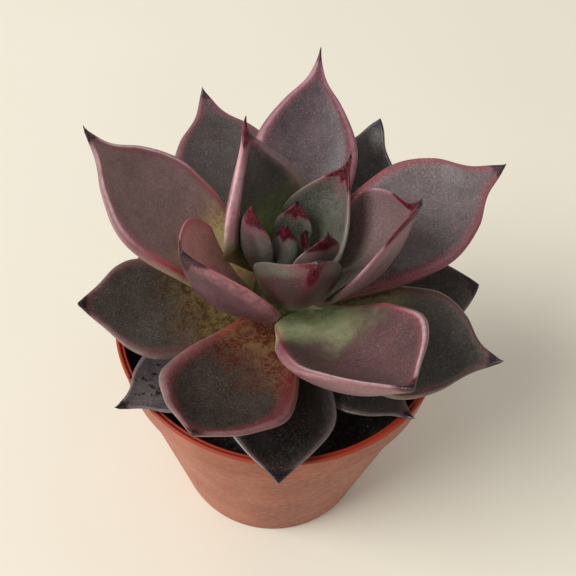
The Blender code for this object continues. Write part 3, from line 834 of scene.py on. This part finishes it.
def with_grain(paint, look, skin, color, in_base):
    """The colour with the pale bloom, the glitter of the foot and the fine grain."""
    cloudy = paint.ramp(paint.noise(BLOOM_CLOUD_SIZE, 2.0, 0.5, skin.seed + 60), 0.45, 0.68, 0.15, 1.0)
    bloom = paint.times(paint.ramp(skin.grain, 0.5, 0.72), look["farina"] * 0.5)
    color = paint.mix(paint.times(bloom, cloudy), color, FARINA)
    dots = paint.spots(GLITTER_SPACING, 0.36, 0.5, skin.seed + 40)
    glitter = paint.times(dots, paint.ramp(in_base, 0.0, 1.0, 0.2, look["glitter"]))
    color = paint.mix(glitter, color, look["glitter_tone"])
    on_face = paint.ramp(skin.rim, -0.2, 0.6, 0.25, 1.0)
    dark = paint.times(paint.ramp(skin.grain, 0.52, 0.34, 0.0, 0.36), on_face)
    color = paint.mix(dark, color, GRAIN)
    dust = paint.times(paint.ramp(skin.grain, 0.56, 0.7, 0.0, look["dust"]), on_face)
    return paint.mix(dust, color, FARINA)


def leaf_material(leaf, seed):
    look = look_of(leaf.name)
    paint = Paint(leaf.name + "_skin")
    skin = leaf_places(paint, leaf, seed)
    color, in_base, line = leaf_tones(paint, look, skin)
    color = with_tip(paint, look, skin, color)
    color = with_grain(paint, look, skin, color, in_base)
    pits = paint.spots(PIT_SPACING, 0.1, look["pits"], seed + 50)
    color = paint.mix(paint.times(pits, 0.8), color, PIT)

    relief = paint.plus(paint.times(skin.grain, 0.4), skin.mottle)
    relief = paint.minus(relief, paint.times(pits, 1.2))
    paint.bump(relief, LEAF_RELIEF)
    shine = paint.plus(paint.times(skin.mottle, 0.2), look["roughness"] - 0.1)
    shine = paint.minus(shine, paint.times(line, 0.12))
    paint.shader.inputs["Specular IOR Level"].default_value = look["gloss"]
    paint.shader.inputs["Subsurface Weight"].default_value = SUBSURFACE_SHARE
    paint.shader.inputs["Subsurface Radius"].default_value = SUBSURFACE_REACH
    paint.shader.inputs["Subsurface Scale"].default_value = SUBSURFACE_SCALE
    return paint.finish(color, shine)


def inside_pot(paint, out, height):
    """1 on the pot's inner faces: nearer the axis than the middle of the wall, and above the floor."""
    slope = (WALL_TOP_RADIUS - BASE_RADIUS) / (POT_HEIGHT - COLLAR_HEIGHT)
    wall = paint.plus(paint.times(height, slope), BASE_RADIUS - WALL / 2)
    depth = paint.minus(paint.math("MINIMUM", wall, COLLAR_RADIUS - WALL / 2), out)
    over_floor = paint.math("GREATER_THAN", height, 5 * MM)
    return paint.times(paint.ramp(depth, -0.1 * MM, 0.1 * MM), over_floor)


def plastic_material():
    """Thin terracotta plastic, painted lighter on the left where the window's light falls and darker on the
    right as painted shade, with specks of soil and a redder lip and inside.
    """
    paint = Paint("pot_plastic_paint")
    x, y, height = paint.parts(paint.place)
    out = paint.math("SQRT", paint.plus(paint.times(x, x), paint.times(y, y)))
    clouds = paint.noise(PLASTIC_CLOUD_SIZE, 3.0, 0.55, 1.0)
    fine = paint.noise(PLASTIC_GRAIN_SIZE, 3.0, 0.6, 2.0)
    cloudy = paint.ramp(clouds, 0.35, 0.68)
    lit_side = paint.mix(cloudy, *PLASTIC_LIT_SIDE_TONES)
    lit_side = paint.mix(paint.ramp(fine, 0.5, 0.75, 0.0, 0.25), lit_side, PLASTIC_BLOOM)
    shaded_side = paint.mix(cloudy, *PLASTIC_SHADED_SIDE_TONES)
    # Painted light and shade: the left side lighter, towards the window, and the right side darker
    color = paint.mix(paint.ramp(x, -16 * MM, 4 * MM), lit_side, shaded_side)
    color = paint.mix(paint.ramp(height, 48.6 * MM, 49.2 * MM), color, PLASTIC_LIP)
    color = paint.mix(inside_pot(paint, out, height), color, PLASTIC_INSIDE)
    soiled = paint.spots(2.2, 0.1, 0.12, 3.0)
    color = paint.mix(paint.times(soiled, 0.7), color, PLASTIC_SPECK)
    paint.shader.inputs["Specular IOR Level"].default_value = PLASTIC_GLOSS
    paint.bump(paint.plus(clouds, paint.times(fine, 0.3)), 0.06)
    return paint.finish(color, paint.ramp(fine, 0.3, 0.7, 0.42, 0.6))


def soil_material(name, tones):
    paint = Paint(name)
    crumbs = paint.noise(0.7, 4.0, 0.65, 4.0)
    lumps = paint.noise(2.5, 2.0, 0.5, 5.0)
    color = paint.mix(paint.ramp(crumbs, 0.4, 0.7), *tones)
    color = paint.mix(paint.ramp(lumps, 0.5, 0.7, 0.0, 0.4), color, tones[0])
    paint.bump(crumbs, 0.25)
    return paint.finish(color, paint.ramp(crumbs, 0.3, 0.7, 0.95, 0.75))


def perlite_material():
    paint = Paint("perlite_paint")
    grain = paint.noise(0.25, 3.0, 0.6, 6.0)
    paint.bump(grain, 0.08)
    return paint.finish(paint.mix(grain, *GRIT_TONES), paint.ramp(grain, 0.3, 0.7, 0.7, 0.9))


def stem_material():
    """Pale green near the young leaves, brown and corky by the soil."""
    paint = Paint("stem_paint")
    fibres = paint.noise(0.8, 3.0, 0.6, 7.0)
    height = paint.plus(paint.parts(paint.place)[2], paint.times(fibres, 3 * MM))
    color = paint.mix(paint.ramp(height, 48 * MM, 56 * MM), *STEM_TONES)
    color = paint.mix(paint.ramp(fibres, 0.55, 0.35, 0.0, 0.5), color, STEM_CORK)
    paint.bump(fibres, 0.12)
    return paint.finish(color, paint.ramp(fibres, 0.3, 0.7, 0.6, 0.8))


# Pieces


def build_leaves():
    for i, leaf in enumerate(HEART_ROWS):
        age = i + HEART_LEAVES - len(HEART_ROWS)
        placed(leaf_object(leaf.name, leaf, age, BUD_RINGS, BUD_SIDES), "heart_leaf", "heart")
    for i, leaf in enumerate(LEAF_ROWS):
        made = leaf_object(leaf.name + "_skin", leaf, i + HEART_LEAVES, LEAF_RINGS, LEAF_SIDES)
        placed(made, leaf.name.rsplit("_", 1)[0], leaf.name)


def build_growing_point():
    """The low dome that the youngest leaves stand round."""
    middle = STEM_TOP + FIT_GAP + DOME_RISE
    angles = np.linspace(math.pi / 2, -math.pi / 2, 17)
    dome = [(DOME_RADIUS * math.cos(a), middle + DOME_RISE * math.sin(a)) for a in angles]
    made = turned("growing_point", dome, DOME_SIDES, leaf_material(HEART_ROWS[0], DOME_SEED))
    store_skin(made, np.tile(np.array(DOME_SKIN), len(made.data.vertices)))
    placed(made, "heart_leaf", "heart")


def pot_wall_radius(height):
    """Outer radius of the plain wall under the collar."""
    return BASE_RADIUS + (WALL_TOP_RADIUS - BASE_RADIUS) * height / (POT_HEIGHT - COLLAR_HEIGHT)


def pot_profile():
    """The pot's section from the axis out and back: a round double lip, and a soft step under the collar."""
    collar_foot = POT_HEIGHT - COLLAR_HEIGHT
    inside_floor = pot_wall_radius(FLOOR) - WALL
    lip_in = COLLAR_RADIUS - WALL
    bead_middle = (LIP_RADIUS - BEAD, POT_HEIGHT - BEAD)
    profile = [(0.0, FLOOR), (inside_floor - FLOOR_ROUNDING, FLOOR)]
    profile += arc((inside_floor - FLOOR_ROUNDING, FLOOR + FLOOR_ROUNDING), FLOOR_ROUNDING, -90, 0, 5)
    profile += [(WALL_TOP_RADIUS - WALL, collar_foot - 0.6 * MM), (lip_in, collar_foot + 0.2 * MM)]
    profile += [(lip_in, height * MM) for height in (44.0, 46.0, 48.0)]
    groove = POT_HEIGHT - LIP_GROOVE_DEPTH
    profile += arc((lip_in + LIP_ROUNDING, groove), LIP_ROUNDING, 180, 50, 5)
    profile += [(lip_in + LIP_GROOVE_OUT, groove)]
    profile += arc(bead_middle, BEAD, 160, -50, 12)
    profile += [(COLLAR_RADIUS, POT_HEIGHT - BEAD_FOOT), (COLLAR_RADIUS, collar_foot + STEP_TOP)]
    for i in range(1, STEP_POINTS + 1):
        inward = (COLLAR_RADIUS - WALL_TOP_RADIUS) * (0.5 - 0.5 * math.cos(math.pi * i / STEP_POINTS))
        profile.append((COLLAR_RADIUS - inward, collar_foot + STEP_TOP - STEP_DROP * i / STEP_POINTS))
    profile += [(pot_wall_radius(height * MM), height * MM) for height in range(38, 0, -4)]
    base_middle = (pot_wall_radius(BASE_ROUNDING) - BASE_ROUNDING, BASE_ROUNDING)
    profile += arc(base_middle, BASE_ROUNDING, 0, -90, 6)
    profile += [(0.0, 0.0)]
    return profile


def cut_drain_holes(pot):
    shape = bmesh.new()
    for i in range(DRAIN_HOLES):
        angle = 2 * math.pi * i / DRAIN_HOLES
        place = Vector((DRAIN_CIRCLE_RADIUS * math.cos(angle), DRAIN_CIRCLE_RADIUS * math.sin(angle), 0.0))
        bmesh.ops.create_cone(
            shape, cap_ends=True, segments=36, radius1=DRAIN_HOLE_RADIUS, radius2=DRAIN_HOLE_RADIUS,
            depth=6 * FLOOR, matrix=Matrix.Translation(place),
        )
    holes = shape_object("drain_holes", shape)
    cut = pot.modifiers.new("drain holes", "BOOLEAN")
    cut.object = holes
    cut.solver = "EXACT"
    bpy.context.view_layer.update()
    graph = bpy.context.evaluated_depsgraph_get()
    pot.data = bpy.data.meshes.new_from_object(pot.evaluated_get(graph))
    pot.modifiers.clear()
    bpy.data.objects.remove(holes)


def build_pot():
    pot = turned("pot_shell", pot_profile(), POT_SIDES, plastic_material())
    cut_drain_holes(pot)
    placed(pot, "pot_plastic", "pot")


def soil_height(x, y):
    """Height of the soil's top: a low mound with lumps and crumbs."""
    out = math.hypot(x, y)
    edge = COLLAR_RADIUS - WALL - FIT_GAP
    mound = SOIL_MIDDLE_HEIGHT - (SOIL_MIDDLE_HEIGHT - SOIL_EDGE_HEIGHT) * min(1.0, out / edge) ** 2
    lumps = noise.noise(Vector((x, y, 0.0)) / SOIL_LUMP_SIZE) * SOIL_LUMP_RISE
    crumbs = noise.noise(Vector((x, y, 5.0)) / SOIL_GRAIN_SIZE) * SOIL_GRAIN_RISE
    return mound + (lumps + crumbs) * MM


def build_soil():
    """The soil that fills the pot, round the stem's hole, with its top raised by soil_height."""
    hole_radius = STEM_SOIL_RADIUS + FIT_GAP
    collar_foot = POT_HEIGHT - COLLAR_HEIGHT
    floor_radius = pot_wall_radius(FLOOR) - WALL - 1.2 * MM
    top_radius = COLLAR_RADIUS - WALL - FIT_GAP
    profile = [(0.0, STEM_FOOT - FIT_GAP), (hole_radius, STEM_FOOT - FIT_GAP)]
    for i in range(SOIL_RINGS + 1):
        profile.append((hole_radius + (top_radius - hole_radius) * i / SOIL_RINGS, SOIL_MIDDLE_HEIGHT))
    profile += [
        (top_radius, collar_foot + 0.5 * MM),
        (WALL_TOP_RADIUS - WALL - FIT_GAP, collar_foot - 0.2 * MM),
        (floor_radius + 0.5 * MM, FLOOR + 1.6 * MM),
        (floor_radius - 0.4 * MM, FLOOR + FIT_GAP),
        (0.0, FLOOR + FIT_GAP),
    ]
    soil = turned("soil_bed", profile, SOIL_SIDES, soil_material("soil_paint", SOIL_TONES))
    for vertex in soil.data.vertices:
        if abs(vertex.co.z - SOIL_MIDDLE_HEIGHT) < 1e-6:
            vertex.co.z = soil_height(vertex.co.x, vertex.co.y)
    placed(soil, "potting_soil", "soil")


def crumb_mesh(name, crumbs, material):
    """One piece of many small rough lumps. Each crumb is a place and a size."""
    shape = bmesh.new()
    for place, size in crumbs:
        made = bmesh.ops.create_icosphere(shape, subdivisions=1, radius=0.5)
        spreads = (CRUMB_WIDTHS, CRUMB_WIDTHS, CRUMB_HEIGHTS)
        squeeze = Vector([random.uniform(*spread) for spread in spreads])
        turn = Matrix.Rotation(random.uniform(0, math.pi), 3, random.choice("XYZ"))
        for vertex in made["verts"]:
            rough = 1 + CRUMB_ROUGHNESS * (random.random() - 0.5)
            vertex.co = place + turn @ (vertex.co * squeeze) * size * rough
    piece = shape_object(name, shape)
    piece.data.materials.append(material)
    return piece


def leaf_crumbs():
    """Crumbs that were splashed on the low leaves, in a loose cluster on each face."""
    crumbs = []
    for i, leaf in enumerate(LEAF_ROWS):
        points, _, _, _ = leaf_skin(leaf, i + HEART_LEAVES, LEAF_RINGS, LEAF_SIDES)
        count, middle = LEAF_CRUMBS.get(leaf.name, (0, 0.5))
        for _ in range(count):
            along = min(max(random.gauss(middle, 0.1), 0.25), 0.9)
            round_face = min(max(random.gauss(0.25, 0.07), 0.08), 0.42)
            place = points[int(LEAF_RINGS * along), int(LEAF_SIDES * round_face)]
            crumbs.append((Vector(place), random.uniform(*LEAF_CRUMB_SIZES) * MM))
    return crumbs


def build_crumbs():
    """Loose lumps of peat and white grit on the soil, and a few crumbs on the lip and on low leaves."""
    peat, grit = [], []
    inner, outer = STEM_SOIL_RADIUS + 1.2 * MM, COLLAR_RADIUS - WALL - 0.9 * MM
    for i in range(SOIL_CRUMBS):
        out = math.sqrt(random.uniform(inner**2, outer**2))
        angle = random.uniform(0, 2 * math.pi)
        x, y = out * math.cos(angle), out * math.sin(angle)
        size = random.uniform(*SOIL_CRUMB_SIZES) * MM
        place = Vector((x, y, soil_height(x, y) + 0.1 * size))
        if i % GRIT_EVERY == 0:
            grit.append((place, size * 0.6))
        else:
            peat.append((place, size))
    for angle, size in LIP_CRUMBS:
        turn = math.radians(angle)
        out = LIP_RADIUS - 0.35 * MM
        peat.append((Vector((out * math.cos(turn), out * math.sin(turn), POT_HEIGHT + 0.1 * MM)), size * MM))
    peat += leaf_crumbs()
    placed(crumb_mesh("peat_crumbs", peat, soil_material("peat_paint", PEAT_TONES)), "potting_soil")
    placed(crumb_mesh("white_grit", grit, perlite_material()), "potting_soil")


def build_stem():
    """The stem, ringed by the scars that its leaves sit on, and its root crown in the soil."""
    shoulder = seat_radius(STEM_AGES[0]) - SEAT_GAP - 0.3 * MM
    profile = [(0.0, STEM_TOP), (1.0 * MM, STEM_TOP), (shoulder, STEM_TOP - 0.05 * MM)]
    for age in STEM_AGES:
        height = min(seat_height(age), STEM_TOP) - 0.2 * MM
        scar = SCAR_DEPTH * math.cos(math.pi * age)
        profile.append((seat_radius(age) - SEAT_GAP + scar, height - 0.01 * MM * age))
    profile += [
        (STEM_SOIL_RADIUS, SOIL_MIDDLE_HEIGHT + 0.8 * MM),
        (STEM_SOIL_RADIUS, SOIL_MIDDLE_HEIGHT - 6.0 * MM),
        (CROWN_RADIUS, STEM_FOOT + 1.2 * MM),
        (CROWN_RADIUS - 0.8 * MM, STEM_FOOT),
        (0.0, STEM_FOOT),
    ]
    placed(turned("stem_column", profile, STEM_SIDES, stem_material()), "stem_tissue", "stem")


# Stage


def build_camera():
    down = math.radians(CAMERA_DOWN)
    roll = math.radians(CAMERA_ROLL)
    forward = Vector((0.0, math.cos(down), -math.sin(down)))
    level_up = Vector((0.0, math.sin(down), math.cos(down)))
    level_right = Vector((1.0, 0.0, 0.0))
    right = level_right * math.cos(roll) + level_up * math.sin(roll)
    up = level_up * math.cos(roll) - level_right * math.sin(roll)
    data = bpy.data.cameras.new("camera")
    data.lens = CAMERA_LENS
    data.sensor_width = CAMERA_SENSOR
    data.clip_start = CAMERA_NEAR
    data.clip_end = CAMERA_FAR
    camera = linked("camera", data)
    facing = Matrix((right, up, -forward)).transposed()
    camera.matrix_world = Matrix.Translation(CAMERA_PLACE) @ facing.to_4x4()
    bpy.context.scene.camera = camera


def build_floor():
    paint = Paint("floor_paint")
    shade = paint.noise(60.0, 2.0, 0.5, 3.0)
    paint.bump(paint.noise(2.0, 2.0, 0.5, 5.0), 0.02)
    material = paint.finish(paint.mix(shade, *FLOOR_TONES), FLOOR_ROUGHNESS)
    half = FLOOR_HALF
    corners = [(-half, -half, 0), (half, -half, 0), (half, half, 0), (-half, half, 0)]
    floor = mesh_object("floor", corners, [(0, 1, 2, 3)], material)
    floor.location.z = -FLOOR_DROP


def build_window():
    """One large soft light, as from a window on the left."""
    data = bpy.data.lights.new("window", "AREA")
    data.shape = "DISK"
    data.size = WINDOW_SIZE
    data.energy = WINDOW_POWER
    data.color = WINDOW_COLOR
    window = linked("window", data)
    window.location = WINDOW_PLACE
    window.rotation_euler = (WINDOW_AIM - WINDOW_PLACE).to_track_quat("-Z", "Y").to_euler()


def build_room_light():
    world = bpy.data.worlds.new("room_light")
    world.use_nodes = True
    background = world.node_tree.nodes["Background"]
    background.inputs["Color"].default_value = (*ROOM_COLOR, 1.0)
    background.inputs["Strength"].default_value = ROOM_STRENGTH
    bpy.context.scene.world = world
    bpy.context.scene.view_settings.view_transform = "Standard"


random.seed(SEED)
build_camera()
build_floor()
build_window()
build_room_light()
build_pot()
build_soil()
build_crumbs()
build_stem()
build_growing_point()
build_leaves()
